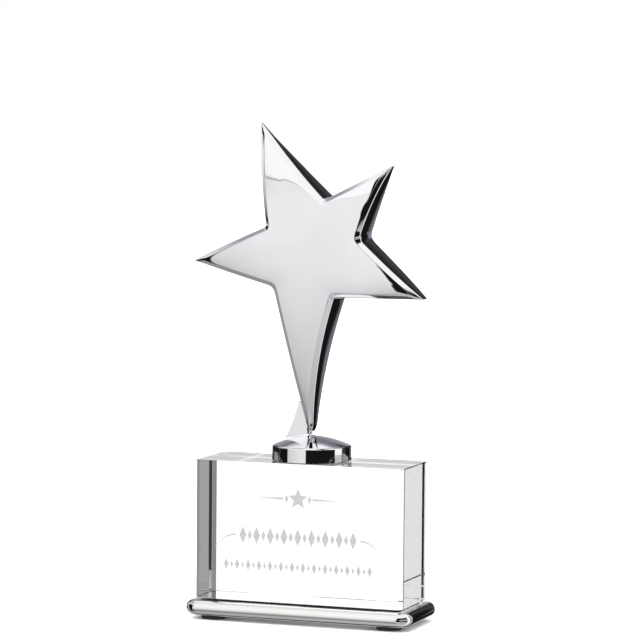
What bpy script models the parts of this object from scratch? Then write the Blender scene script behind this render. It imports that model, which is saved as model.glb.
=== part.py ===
"""Star trophy: a polished cast star on a round cap, on a crystal block, on a bullnosed metal plate.

Units are metres and +Z is up, and -Y is the front. The origin is on the ground, under the middle of the whole
trophy's outline. The star reaches a little past the plate on the left, so the base's middle is at BASE_X.
"""

import math

import bmesh
import bpy
from mathutils import Vector

MM = 0.001
CLEARANCE = 0.3 * MM  # between pieces that touch or nest

# Base plate and feet
PLATE_LENGTH = 120 * MM
PLATE_DEPTH = 50 * MM
PLATE_THICKNESS = 7.5 * MM
PLATE_CORNER = 8 * MM  # radius of the plate's corners, seen from above
FOOT_RADIUS = 6.5 * MM
FOOT_PROUD = 2.2 * MM  # how far the plate's underside is off the ground
FOOT_POCKET = 1.3 * MM
FOOT_HEIGHT = FOOT_PROUD + FOOT_POCKET - CLEARANCE
FOOT_X = 46.5 * MM
FOOT_Y = 14.5 * MM
BASE_X = 1.15 * MM

# Crystal block
BLOCK_LENGTH = 110 * MM
BLOCK_DEPTH = 40 * MM
BLOCK_HEIGHT = 70 * MM
BLOCK_CORNER_CHAMFER = 2.1 * MM  # the four upright edges
BLOCK_RIM_CHAMFER = 1.0 * MM  # the edges of the top and the bottom
SHEET_THICKNESS = 0.4 * MM
SHEET_MARGIN = 2.5 * MM

# Cap, and the fixing inside it
CAP_RADIUS = 20 * MM
CAP_WALL = 7.3 * MM
CAP_RISE = 5.0 * MM
CAP_DOME_POWER = 1.8
CAP_CHAMFER = 0.6 * MM
PAD_THICKNESS = 0.4 * MM
PAD_OUTER = 17.5 * MM
PAD_INNER = 9.5 * MM
NUT_POCKET_RADIUS = 7.0 * MM
NUT_POCKET_DEPTH = 5.2 * MM
STUD_RADIUS = 1.5 * MM
STUD_INTO_LEG = 12 * MM  # above the corner where the leg's edges would meet
NECK_RADIUS = 1.0 * MM  # the stud's bare waist between the leg and the cap
NECK_SHIFT = -0.8 * MM
NECK_FLARE = 0.9 * MM
STUD_BELOW_NUT = 0.6 * MM
WASHER_RADIUS = 3.5 * MM
WASHER_THICKNESS = 0.5 * MM
NUT_ACROSS_FLATS = 5.5 * MM
NUT_THICKNESS = 2.4 * MM

# Star: its middle and outline in its own plane, seen from the front as (x, height above the block's underside)
STAR_CENTRE = (0.5 * MM, 176 * MM)
STAR_TIPS = [
    (-28.0 * MM, 239.0 * MM),
    (41.7 * MM, 218.5 * MM),
    (59.1 * MM, 152.8 * MM),
    (0.2 * MM, 80.3 * MM),
    (-63.8 * MM, 168.7 * MM),
]
STAR_NOTCHES = [  # each follows the tip of the same place in the list, clockwise
    (8.4 * MM, 201.2 * MM),
    (26.7 * MM, 182.4 * MM),
    (14.0 * MM, 152.9 * MM),
    (-18.0 * MM, 157.2 * MM),
    (-22.1 * MM, 187.2 * MM),
]
NOTCH_ROUNDS = [1.6 * MM, 4.0 * MM, 2.2 * MM, 3.5 * MM, 2.2 * MM]
# How far each edge bows outwards: tip to notch, then notch to the next tip
EDGE_BOWS = [
    (-0.5 * MM, -0.2 * MM),
    (-0.7 * MM, -0.1 * MM),
    (-0.1 * MM, -2.0 * MM),
    (0.0, -0.1 * MM),
    (0.2 * MM, 0.6 * MM),
]
TIP_ROUND = 0.5 * MM
LEG_TIP_ROUND = 8.5 * MM
LEG = 3  # the long arm that stands on the cap
STAR_HALF_THICKNESS = 11.6 * MM  # at the middle
TIP_HALF_THICKNESSES = [1.4 * MM, 3.1 * MM, 5.4 * MM, 4.3 * MM, 2.0 * MM]
DOME_POWERS = [2.0, 3.8, 3.95, 2.2, 2.6]  # the higher, the longer an arm stays thick before it falls to its tip
BEVEL_WIDTH = 2.0 * MM
BEVEL_DROP = 1.6 * MM
RIM_ROUND = 0.4 * MM  # softens the edge between the bevel and the wall
RIM_DROP = 0.3 * MM
PUFF = 0.5 * MM  # the face swells inwards from its edges by this much
PUFF_REACH = 3.3 * MM
THINNEST_SHARE = 0.4  # of the face's half thickness, left in the wall where an arm is thinner than its bevels
EDGE_POINTS = 7
TIP_POINTS = 2
LEG_TIP_POINTS = 6
NOTCH_POINTS = 5

# Brace between the leg and the cap
BRACE_HALF_THICKNESS = 1.1 * MM
BRACE_TOP = (-6.3 * MM, 99.5 * MM)
BRACE_FOOT_X = -14.2 * MM
BRACE_CURVE = 0.7 * MM

# Heights above the ground
PLATE_BOTTOM = FOOT_PROUD
PLATE_TOP = PLATE_BOTTOM + PLATE_THICKNESS
BLOCK_BOTTOM = PLATE_TOP + CLEARANCE + SHEET_THICKNESS + CLEARANCE
BLOCK_TOP = BLOCK_BOTTOM + BLOCK_HEIGHT
CAP_BOTTOM = BLOCK_TOP + CLEARANCE
CAP_SHOULDER = CAP_BOTTOM + CAP_WALL
CAP_APEX = CAP_SHOULDER + CAP_RISE
PAD_TOP = CAP_BOTTOM + PAD_THICKNESS
NUT_POCKET_ROOF = CAP_BOTTOM + NUT_POCKET_DEPTH
WASHER_TOP = NUT_POCKET_ROOF - CLEARANCE
NUT_TOP = WASHER_TOP - WASHER_THICKNESS - CLEARANCE
STUD_BOTTOM = NUT_TOP - NUT_THICKNESS - STUD_BELOW_NUT

ROUND_STEPS = 64
SMALL_STEPS = 32


def clear_scene():
    for obj in list(bpy.data.objects):
        bpy.data.objects.remove(obj, do_unlink=True)


def material(name, colour, roughness, metallic=0.0, transmission=0.0, ior=1.5):
    made = bpy.data.materials.new(name)
    made.use_nodes = True
    shader = made.node_tree.nodes["Principled BSDF"]
    shader.inputs["Base Color"].default_value = (*colour, 1.0)
    shader.inputs["Roughness"].default_value = roughness
    shader.inputs["Metallic"].default_value = metallic
    shader.inputs["Transmission Weight"].default_value = transmission
    shader.inputs["IOR"].default_value = ior
    made.diffuse_color = (*colour, 1.0)
    return made


def add_object(name, mesh_builder, finish, smooth_angle=None):
    """Turns a bmesh into a named object, with its normals facing out."""
    bmesh.ops.recalc_face_normals(mesh_builder, faces=mesh_builder.faces)
    mesh = bpy.data.meshes.new(name)
    mesh_builder.to_mesh(mesh)
    mesh_builder.free()
    if smooth_angle is not None:
        mesh.shade_smooth()
        mesh.set_sharp_from_angle(angle=math.radians(smooth_angle))
    mesh.materials.append(finish)
    obj = bpy.data.objects.new(name, mesh)
    bpy.context.scene.collection.objects.link(obj)
    return obj


def bridge_rings(mesh_builder, rings, closed=False):
    """Joins rings of the same number of vertices with quads, and the last to the first when closed."""
    pairs = list(zip(rings, rings[1:]))
    if closed:
        pairs.append((rings[-1], rings[0]))
    for lower, upper in pairs:
        count = len(lower)
        for i in range(count):
            j = (i + 1) % count
            mesh_builder.faces.new((lower[i], lower[j], upper[j], upper[i]))


def stacked(name, outlines, finish, smooth_angle=None):
    """A solid from plan outlines of equal length, given as (points, height) from the bottom up, with flat ends."""
    mesh_builder = bmesh.new()
    rings = [[mesh_builder.verts.new((x, y, z)) for x, y in points] for points, z in outlines]
    bridge_rings(mesh_builder, rings)
    mesh_builder.faces.new(list(reversed(rings[0])))
    mesh_builder.faces.new(rings[-1])
    return add_object(name, mesh_builder, finish, smooth_angle)


def turned(name, profile, steps, finish, smooth_angle=30):
    """A ring turned about Z from a closed profile of (radius, height) points that stay off the axis."""
    mesh_builder = bmesh.new()
    rings = []
    for i in range(steps):
        angle = 2 * math.pi * i / steps
        rings.append([mesh_builder.verts.new((r * math.cos(angle), r * math.sin(angle), z)) for r, z in profile])
    bridge_rings(mesh_builder, rings, closed=True)
    return add_object(name, mesh_builder, finish, smooth_angle)


def circle(radius, steps):
    return [
        (radius * math.cos(2 * math.pi * i / steps), radius * math.sin(2 * math.pi * i / steps))
        for i in range(steps)
    ]


def arc(centre, radius, start, end, steps):
    """Points on an arc, in degrees, with both ends."""
    found = []
    for i in range(steps + 1):
        angle = math.radians(start + (end - start) * i / steps)
        found.append((centre[0] + radius * math.cos(angle), centre[1] + radius * math.sin(angle)))
    return found


def rounded_rectangle(length, depth, radius, steps):
    found = []
    for quarter, (sx, sy) in enumerate(((1, 1), (-1, 1), (-1, -1), (1, -1))):
        centre = (sx * (length / 2 - radius), sy * (depth / 2 - radius))
        found += arc(centre, radius, 90 * quarter, 90 * quarter + 90, steps)
    return found


def chamfered_rectangle(length, depth, chamfer):
    half_length, half_depth = length / 2, depth / 2
    return [
        (half_length, -half_depth + chamfer),
        (half_length, half_depth - chamfer),
        (half_length - chamfer, half_depth),
        (-half_length + chamfer, half_depth),
        (-half_length, half_depth - chamfer),
        (-half_length, -half_depth + chamfer),
        (-half_length + chamfer, -half_depth),
        (half_length - chamfer, -half_depth),
    ]


def cutter(name, radius, bottom, top, x, y):
    """A hidden cylinder for a Boolean cut."""
    outline = [(x + px, y + py) for px, py in circle(radius, SMALL_STEPS)]
    made = stacked(name, [(outline, bottom), (outline, top)], bpy.data.materials["black_rubber"])
    made.hide_render = True
    made.display_type = "WIRE"
    return made


def boolean(obj, other, operation):
    modifier = obj.modifiers.new(other.name, "BOOLEAN")
    modifier.operation = operation
    modifier.object = other


def foot_places():
    return {
        "foot_front_left": (-FOOT_X, -FOOT_Y),
        "foot_front_right": (FOOT_X, -FOOT_Y),
        "foot_rear_left": (-FOOT_X, FOOT_Y),
        "foot_rear_right": (FOOT_X, FOOT_Y),
    }


def make_base_plate(finish):
    """A flat plate whose whole edge is one half-round, with a shallow pocket below for each foot."""
    nose = PLATE_THICKNESS / 2
    steps = 8
    outlines = []
    for i in range(steps + 1):
        angle = math.radians(-90 + 180 * i / steps)
        inset = nose * (1 - math.cos(angle))
        outline = rounded_rectangle(
            PLATE_LENGTH - 2 * inset, PLATE_DEPTH - 2 * inset, PLATE_CORNER - inset, 6
        )
        outlines.append((outline, PLATE_BOTTOM + nose + nose * math.sin(angle)))
    plate = stacked("base_plate", outlines, finish, 40)
    for name, (x, y) in foot_places().items():
        bottom = PLATE_BOTTOM - 2 * CLEARANCE
        pocket = cutter(name + "_pocket", FOOT_RADIUS + CLEARANCE, bottom, PLATE_BOTTOM + FOOT_POCKET, x, y)
        boolean(plate, pocket, "DIFFERENCE")


def make_feet(finish):
    """Four rubber buttons, a little narrower where they meet the ground."""
    tread = FOOT_RADIUS - 0.9 * MM
    levels = [(tread, 0), (FOOT_RADIUS - 0.2 * MM, 0.7 * MM), (FOOT_RADIUS, 1.2 * MM), (FOOT_RADIUS, FOOT_HEIGHT)]
    for name, (x, y) in foot_places().items():
        foot = stacked(name, [(circle(r, SMALL_STEPS), z) for r, z in levels], finish, 30)
        foot.location = (x, y, 0)


def make_bond_sheet(finish):
    outline = rounded_rectangle(BLOCK_LENGTH - 2 * SHEET_MARGIN, BLOCK_DEPTH - 2 * SHEET_MARGIN, 2 * MM, 3)
    bottom = PLATE_TOP + CLEARANCE
    stacked("block_bond_sheet", [(outline, bottom), (outline, bottom + SHEET_THICKNESS)], finish)


def make_crystal_block(finish):
    """A solid block with chamfered upright edges and fine chamfers round the top and the bottom."""
    full = chamfered_rectangle(BLOCK_LENGTH, BLOCK_DEPTH, BLOCK_CORNER_CHAMFER)
    ends = chamfered_rectangle(
        BLOCK_LENGTH - 2 * BLOCK_RIM_CHAMFER, BLOCK_DEPTH - 2 * BLOCK_RIM_CHAMFER, BLOCK_CORNER_CHAMFER
    )
    outlines = [
        (ends, BLOCK_BOTTOM),
        (full, BLOCK_BOTTOM + BLOCK_RIM_CHAMFER),
        (full, BLOCK_TOP - BLOCK_RIM_CHAMFER),
        (ends, BLOCK_TOP),
    ]
    stacked("crystal_block", outlines, finish)


def dome_height(radius):
    """Height of the cap's shallow domed top at a distance from the axis."""
    return CAP_APEX - CAP_RISE * (radius / CAP_RADIUS) ** CAP_DOME_POWER


def make_cap(finish):
    """A low round cap with a domed top, a stud hole, a pocket for the nut and a shallow recess for the pad."""
    hole = STUD_RADIUS + CLEARANCE
    recess_roof = PAD_TOP + CLEARANCE
    recess_radius = PAD_OUTER + CLEARANCE
    rim_radius = CAP_RADIUS - CAP_CHAMFER
    dome = [rim_radius + (hole - rim_radius) * i / 8 for i in range(9)]
    profile = [
        (recess_radius, CAP_BOTTOM),
        (CAP_RADIUS - 0.3 * MM, CAP_BOTTOM),
        (CAP_RADIUS, CAP_BOTTOM + 0.3 * MM),
        (CAP_RADIUS, dome_height(rim_radius) - CAP_CHAMFER),
        *[(radius, dome_height(radius)) for radius in dome],
        (hole, NUT_POCKET_ROOF),
        (NUT_POCKET_RADIUS, NUT_POCKET_ROOF),
        (NUT_POCKET_RADIUS, recess_roof),
        (recess_radius, recess_roof),
    ]
    turned("cap", profile, ROUND_STEPS, finish)


def make_cap_bond_pad(finish):
    """A clear ring of adhesive film in the recess under the cap."""
    profile = [
        (PAD_INNER, CAP_BOTTOM),
        (PAD_OUTER, CAP_BOTTOM),
        (PAD_OUTER, PAD_TOP),
        (PAD_INNER, PAD_TOP),
    ]
    turned("cap_bond_pad", profile, ROUND_STEPS, finish)


def make_washer(finish):
    bottom = WASHER_TOP - WASHER_THICKNESS
    hole = STUD_RADIUS + CLEARANCE
    profile = [(hole, bottom), (WASHER_RADIUS, bottom), (WASHER_RADIUS, WASHER_TOP), (hole, WASHER_TOP)]
    turned("washer", profile, SMALL_STEPS, finish)


def make_hex_nut(finish):
    """A hexagonal nut with a round bore that clears the stud."""
    mesh_builder = bmesh.new()
    corner = NUT_ACROSS_FLATS / math.sqrt(3)
    steps = 24
    rings = []
    for z in (NUT_TOP - NUT_THICKNESS, NUT_TOP):
        outer, inner = [], []
        for i in range(steps):
            angle = 2 * math.pi * i / steps
            to_flat = (angle % (math.pi / 3)) - math.pi / 6
            reach = corner * math.cos(math.pi / 6) / math.cos(to_flat)
            hole = STUD_RADIUS + CLEARANCE
            outer.append(mesh_builder.verts.new((reach * math.cos(angle), reach * math.sin(angle), z)))
            inner.append(mesh_builder.verts.new((hole * math.cos(angle), hole * math.sin(angle), z)))
        rings += [outer, inner] if z == NUT_TOP else [inner, outer]
    bridge_rings(mesh_builder, rings, closed=True)
    add_object("hex_nut", mesh_builder, finish)


def bowed_edge(start, end, bow, count):
    """Points from start up to, but not at, end, swelling by bow to the left of the way along."""
    (ax, az), (bx, bz) = start, end
    length = math.hypot(bx - ax, bz - az)
    nx, nz = -(bz - az) / length, (bx - ax) / length
    found = []
    for i in range(count):
        t = i / count
        swell = 4 * bow * t * (1 - t)
        found.append((ax + (bx - ax) * t + nx * swell, az + (bz - az) * t + nz * swell))
    return found


def toward(start, end, distance):
    length = math.hypot(end[0] - start[0], end[1] - start[1])
    share = distance / length
    return (start[0] + (end[0] - start[0]) * share, start[1] + (end[1] - start[1]) * share)


def rounded_corner(before, corner, after, reach, count):
    """A soft corner as a quadratic curve that starts and ends at reach from the corner, without its last point."""
    (ax, az), (bx, bz), (cx, cz) = toward(corner, before, reach), corner, toward(corner, after, reach)
    found = []
    for i in range(count):
        t = i / count
        found.append(
            (
                (1 - t) ** 2 * ax + 2 * t * (1 - t) * bx + t**2 * cx,
                (1 - t) ** 2 * az + 2 * t * (1 - t) * bz + t**2 * cz,
            )
        )
    return found


def star_outline():
    """The star's outline in its plane, clockwise from the top tip, with soft tips and rounded notches."""
    corners = []
    for i, tip in enumerate(STAR_TIPS):
        reach, points = (LEG_TIP_ROUND, LEG_TIP_POINTS) if i == LEG else (TIP_ROUND, TIP_POINTS)
        corners.append((tip, reach, EDGE_BOWS[i][0], points))
        corners.append((STAR_NOTCHES[i], NOTCH_ROUNDS[i], EDGE_BOWS[i][1], NOTCH_POINTS))
    count = len(corners)
    found = []
    for i, (corner, reach, bow, points) in enumerate(corners):
        before, after = corners[i - 1][0], corners[(i + 1) % count][0]
        after_reach = corners[(i + 1) % count][1]
        found += rounded_corner(before, corner, after, reach, points)
        found += bowed_edge(toward(corner, after, reach), toward(after, corner, after_reach), bow, EDGE_POINTS)
    return found


def arm_blend(angle, values):
    """One value per tip, blended round the star between one tip and the next."""
    cx, cz = STAR_CENTRE
    tips = sorted((math.atan2(z - cz, x - cx), value) for (x, z), value in zip(STAR_TIPS, values))
    turn = 2 * math.pi
    for i, (here, value) in enumerate(tips):
        after, next_value = tips[(i + 1) % len(tips)]
        span = (after - here) % turn
        along = (angle - here) % turn
        if along < span:
            blend = (1 - math.cos(math.pi * along / span)) / 2
            return value + (next_value - value) * blend
    return tips[0][1]


def face_half_thickness(x, z):
    """Half the star's thickness: a dome that falls towards every tip."""
    dx, dz = x - STAR_CENTRE[0], z - STAR_CENTRE[1]
    angle = math.atan2(dz, dx)
    lengths = [math.hypot(tip_x - STAR_CENTRE[0], tip_z - STAR_CENTRE[1]) for tip_x, tip_z in STAR_TIPS]
    share = min(1.0, math.hypot(dx, dz) / arm_blend(angle, lengths))
    tip = arm_blend(angle, TIP_HALF_THICKNESSES)
    return tip + (STAR_HALF_THICKNESS - tip) * (1 - share ** arm_blend(angle, DOME_POWERS))


def edge_drop(inset):
    """How far the face falls at a distance inside its edge: a flat bevel with a soft rim, then a soft swell."""
    bevel = max(0.0, 1 - inset / BEVEL_WIDTH)
    rim = max(0.0, 1 - inset / RIM_ROUND)
    return BEVEL_DROP * bevel + RIM_DROP * (1 - math.sqrt(1 - rim**2)) + PUFF * math.exp(-inset / PUFF_REACH)


def inward_steps(outline):
    """For each outline point, the unit direction to the middle, its distance, and the slant of the edge to it."""
    found = []
    count = len(outline)
    for i, (x, z) in enumerate(outline):
        dx, dz = STAR_CENTRE[0] - x, STAR_CENTRE[1] - z
        distance = math.hypot(dx, dz)
        before, after = outline[i - 1], outline[(i + 1) % count]
        ex, ez = after[0] - before[0], after[1] - before[1]
        slant = abs(dx * ez - dz * ex) / (distance * math.hypot(ex, ez))
        found.append((dx / distance, dz / distance, distance, max(slant, 0.4)))
    return found


def star_rings(outline):
    """Rings from the outer edge inwards, each a list of (x, height above the block's underside, half thickness)."""
    steps = inward_steps(outline)
    rings = []
    for inset in (0, 0.3 * RIM_ROUND, RIM_ROUND, BEVEL_WIDTH, 1.5 * BEVEL_WIDTH, 2.5 * BEVEL_WIDTH):
        ring = []
        for (x, z), (ux, uz, distance, slant) in zip(outline, steps):
            move = inset / slant
            px, pz = x + ux * move, z + uz * move
            thinnest = THINNEST_SHARE * face_half_thickness(x, z)
            ring.append((px, pz, max(thinnest, face_half_thickness(px, pz) - edge_drop(inset))))
        rings.append(ring)
    last = rings[-1]
    for share in (0.75, 0.5, 0.25):
        ring = []
        for x, z, _ in last:
            px = STAR_CENTRE[0] + (x - STAR_CENTRE[0]) * share
            pz = STAR_CENTRE[1] + (z - STAR_CENTRE[1]) * share
            ring.append((px, pz, face_half_thickness(px, pz)))
        rings.append(ring)
    return rings


def make_star(finish):
    """The cast star, the same front and back, with the stud that carries it cast into its leg."""
    mesh_builder = bmesh.new()
    rings = star_rings(star_outline())
    sides = {}
    for side in (-1, 1):
        sides[side] = [
            [mesh_builder.verts.new((x, side * half, BLOCK_BOTTOM + z)) for x, z, half in ring] for ring in rings
        ]
        bridge_rings(mesh_builder, sides[side])
        half = face_half_thickness(*STAR_CENTRE)
        middle = mesh_builder.verts.new((STAR_CENTRE[0], side * half, BLOCK_BOTTOM + STAR_CENTRE[1]))
        inner = sides[side][-1]
        for i, vertex in enumerate(inner):
            mesh_builder.faces.new((vertex, inner[(i + 1) % len(inner)], middle))
    bridge_rings(mesh_builder, [sides[-1][0], sides[1][0]])
    bmesh.ops.triangulate(mesh_builder, faces=mesh_builder.faces)
    star = add_object("star", mesh_builder, finish, 35)

    stud_top = BLOCK_BOTTOM + STAR_TIPS[LEG][1] + STUD_INTO_LEG
    levels = [
        (STUD_RADIUS - 0.4 * MM, 0.0, STUD_BOTTOM),
        (STUD_RADIUS, 0.0, STUD_BOTTOM + 0.4 * MM),
        (STUD_RADIUS, 0.0, CAP_APEX),
        (NECK_RADIUS, NECK_SHIFT, CAP_APEX + NECK_FLARE),
        (NECK_RADIUS, NECK_SHIFT, stud_top - 1 * MM),
        (NECK_RADIUS / 2, NECK_SHIFT, stud_top),
    ]
    outlines = [([(x + shift, y) for x, y in circle(r, SMALL_STEPS)], z) for r, shift, z in levels]
    stud = stacked("stud", outlines, finish, 30)
    stud.hide_render = True
    stud.display_type = "WIRE"
    boolean(star, stud, "UNION")


def leg_left_edge(height):
    """x of the leg's left edge at a height above the block's underside, without its small bow."""
    (tx, tz), (nx, nz) = STAR_TIPS[LEG], STAR_NOTCHES[LEG]
    return tx + (nx - tx) * (height - tz) / (nz - tz)


def make_leg_brace(finish):
    """A thin three-sided fin between the leg's left edge and the cap, with a slightly hollow outer edge."""
    gap = 1.6 * CLEARANCE
    top_x, top_z = BRACE_TOP
    foot_z = dome_height(-BRACE_FOOT_X) - BLOCK_BOTTOM + gap
    inner_z = dome_height(STUD_RADIUS) - BLOCK_BOTTOM + gap
    inner_x = -STUD_RADIUS - 2 * CLEARANCE
    turn_z = STAR_TIPS[LEG][1] + 7.4 * MM
    outline = [
        *bowed_edge((BRACE_FOOT_X, foot_z), (top_x - 0.6 * MM, top_z), -BRACE_CURVE, 8),
        (top_x - 0.6 * MM, top_z),
        (leg_left_edge(top_z) - 0.9 * MM, top_z - 0.4 * MM),
        (leg_left_edge(turn_z) - 1.0 * MM, turn_z),
        (inner_x, STAR_TIPS[LEG][1] + 3.7 * MM),
        (inner_x, inner_z),
    ]
    mesh_builder = bmesh.new()
    rings = [
        [mesh_builder.verts.new((x, side * BRACE_HALF_THICKNESS, BLOCK_BOTTOM + z)) for x, z in outline]
        for side in (-1, 1)
    ]
    bridge_rings(mesh_builder, rings)
    mesh_builder.faces.new(list(reversed(rings[0])))
    mesh_builder.faces.new(rings[1])
    bmesh.ops.triangulate(mesh_builder, faces=mesh_builder.faces)
    add_object("leg_brace", mesh_builder, finish)


def centre_on_origin():
    """Moves the whole trophy along X, so that the origin is under the middle of its outline."""
    trophy = bpy.data.objects.new("trophy", None)
    bpy.context.scene.collection.objects.link(trophy)
    trophy.location = (BASE_X, 0, 0)
    for obj in bpy.data.objects:
        if obj.type == "MESH":
            obj.parent = trophy


def main():
    clear_scene()
    chrome = material("polished_chrome", (0.86, 0.87, 0.89), 0.05, metallic=1.0)
    plate_chrome = material("plate_chrome", (0.84, 0.84, 0.85), 0.08, metallic=1.0)
    crystal = material("crystal", (0.98, 0.99, 0.99), 0.0, transmission=1.0, ior=1.52)
    film = material("adhesive_film", (0.9, 0.9, 0.88), 0.3)
    zinc = material("zinc_plate", (0.6, 0.61, 0.62), 0.35, metallic=1.0)
    rubber = material("black_rubber", (0.02, 0.02, 0.02), 0.8)

    make_base_plate(plate_chrome)
    make_feet(rubber)
    make_bond_sheet(film)
    make_crystal_block(crystal)
    make_cap(chrome)
    make_cap_bond_pad(film)
    make_washer(zinc)
    make_hex_nut(zinc)
    make_star(chrome)
    make_leg_brace(chrome)
    centre_on_origin()


main()
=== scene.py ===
"""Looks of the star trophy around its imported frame: bright metal, crystal, etching and a pale studio."""

import math

import bmesh
import bpy
import numpy as np
from mathutils import Matrix, Vector


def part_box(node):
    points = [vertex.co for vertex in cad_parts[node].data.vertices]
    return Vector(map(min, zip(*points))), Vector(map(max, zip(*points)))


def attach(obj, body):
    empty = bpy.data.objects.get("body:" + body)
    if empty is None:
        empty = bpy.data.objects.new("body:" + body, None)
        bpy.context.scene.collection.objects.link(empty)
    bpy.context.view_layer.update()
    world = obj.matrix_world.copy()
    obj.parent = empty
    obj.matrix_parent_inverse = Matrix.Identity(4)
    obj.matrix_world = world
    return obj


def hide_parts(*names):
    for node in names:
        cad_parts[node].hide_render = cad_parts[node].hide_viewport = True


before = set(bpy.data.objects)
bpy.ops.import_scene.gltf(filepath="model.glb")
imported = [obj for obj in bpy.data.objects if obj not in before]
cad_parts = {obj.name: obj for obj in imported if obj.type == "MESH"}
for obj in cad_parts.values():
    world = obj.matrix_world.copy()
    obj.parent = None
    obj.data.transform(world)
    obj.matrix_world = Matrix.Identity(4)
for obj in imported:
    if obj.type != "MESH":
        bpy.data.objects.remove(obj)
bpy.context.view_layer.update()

MM = 0.001
TINY = 1e-9
MIX_FIRST, MIX_SECOND, MIX_RESULT = 6, 7, 2  # the Mix node's colour sockets
DEGREES = 180 / math.pi
BODY = "root"

# Places read from the frame
BLOCK_LOW, BLOCK_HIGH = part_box("crystal_block")
CAP_LOW, CAP_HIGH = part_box("cap")
PLATE_LOW, PLATE_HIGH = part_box("base_plate")
STUD_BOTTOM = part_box("star")[0].z
BASE_X = (BLOCK_LOW.x + BLOCK_HIGH.x) / 2
BLOCK_BOTTOM = BLOCK_LOW.z
FEET = ["foot_front_left", "foot_front_right", "foot_rear_left", "foot_rear_right"]

# Camera, in degrees and metres, with a lens and sensor in millimetres
CAMERA_AZIMUTH = 19.47
CAMERA_ELEVATION = 4.456
CAMERA_ROLL = 0.480
CAMERA_DISTANCE = 1.7788
CAMERA_LENS = 200.0
CAMERA_SENSOR = 36
CAMERA_REACH = (0.1, 50)
CAMERA_TARGET = Vector((BASE_X + 3.74 * MM, 0.0, BLOCK_BOTTOM + 140.7 * MM))

# Star: the same outline and dome as the frame's, in its own plane as (x, height above the block's underside)
STAR_CENTRE = (0.5 * MM, 176 * MM)
STAR_TIPS = [
    (-28.0 * MM, 239.0 * MM),
    (41.7 * MM, 218.5 * MM),
    (59.1 * MM, 152.8 * MM),
    (0.2 * MM, 80.3 * MM),
    (-63.8 * MM, 168.7 * MM),
]
STAR_NOTCHES = [
    (8.4 * MM, 201.2 * MM),
    (26.7 * MM, 182.4 * MM),
    (14.0 * MM, 152.9 * MM),
    (-18.0 * MM, 157.2 * MM),
    (-22.1 * MM, 187.2 * MM),
]
NOTCH_ROUNDS = [1.6 * MM, 4.0 * MM, 2.2 * MM, 3.5 * MM, 2.2 * MM]
EDGE_BOWS = [
    (-0.5 * MM, -0.2 * MM),
    (-0.7 * MM, -0.1 * MM),
    (-0.1 * MM, -2.0 * MM),
    (0.0, -0.1 * MM),
    (0.2 * MM, 0.6 * MM),
]
TIP_ROUND = 0.5 * MM
LEG_TIP_ROUND = 8.5 * MM
LEG = 3
STAR_HALF_THICKNESS = 11.6 * MM
TIP_HALF_THICKNESSES = [1.4 * MM, 3.1 * MM, 5.4 * MM, 4.3 * MM, 2.0 * MM]
DOME_POWERS = [2.0, 3.8, 3.95, 2.2, 2.6]
BEVEL_WIDTH = 2.0 * MM
BEVEL_DROP = 1.6 * MM
BEVEL_SOFT = 0.12 * MM
RIM_ROUND = 0.4 * MM
RIM_DROP = 0.3 * MM
EDGE_PUFFS = [0.5 * MM] * 9 + [0.1 * MM]  # tip to notch and notch to tip, clockwise from the top tip
PUFF_REACH = 3.3 * MM
WALL_SWELL = 0.035  # of the wall's half thickness, out at its middle and in at its rims
WALL_STEPS = 12
THICK_FROM = 2.5 * MM  # the walls are flat out at the thin tips
THINNEST_SHARE = 0.4
SOFT_MIN_POWER = 4
EDGE_POINTS = 30
TIP_POINTS = 4
LEG_TIP_POINTS = 24
NOTCH_POINTS = 10
# In millimetres
RING_INSETS = [0, 0.02, 0.06, 0.12, 0.2, 0.3, 0.42, 0.7, 1.1, 1.5, 1.75, 1.9, 2.0, 2.1, 2.25, 2.5, 3.0]
RING_INSETS += [3.8, 5.0, 6.5]
INNER_RINGS = 12
DEEPEST_SHRINK = 0.8  # towards the centre, when a ring's inset is searched for
SEARCH_STEPS = 22

# Stud, from inside the leg down to the nut
STUD_INTO_LEG = 12 * MM
STUD_RADIUS = 1.5 * MM
STUD_CHAMFER = 0.4 * MM
STUD_SIDES = 48
THREAD_PITCH = 0.5 * MM
THREAD_DEPTH = 0.25 * MM
THREAD_BELOW_CAP_TOP = 3 * MM
NECK_RADIUS = 1.0 * MM
NECK_SHIFT = -0.8 * MM
NECK_FLARE = 0.9 * MM
NECK_STEPS = 8
NECK_UNDER_CAP_TOP = 0.05 * MM
NECK_POINT = 1 * MM

# Cap: a domed disc, with a shallow recess for the bond and a pocket for the nut underneath
CAP_RADIUS = (CAP_HIGH.x - CAP_LOW.x) / 2
CAP_WALL = 7.3 * MM
CAP_RISE = 5.0 * MM
CAP_DOME_POWER = 1.8
CAP_CHAMFER = 0.6 * MM
CAP_FOOT_CHAMFER = 0.3 * MM
CAP_RECESS_RADIUS, CAP_RECESS_DEPTH = 17.8 * MM, 0.7 * MM
CAP_POCKET_RADIUS, CAP_POCKET_DEPTH = 7.0 * MM, 5.2 * MM
CAP_DOME_STEPS = 40
CAP_STEPS = 256
CLEARANCE = 0.3 * MM

# Crystal block
BLOCK_CHAMFER = 2.1 * MM
BLOCK_POLISH = 0.35 * MM
BLOCK_POLISH_POINTS = 4
BLOCK_RIM = 0.8 * MM
BLOCK_RIM_LEVELS = [(0.5, 0.0), (0.15, 0.15), (0.0, 0.5)]  # (inset, rise) as shares of the rim

# Etching on the block's front; places and lengths along the face are shares of its width and height
TOP_ROW, MIDDLE_ROW, BOTTOM_ROW = 0.75, 0.475, 0.26
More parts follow.
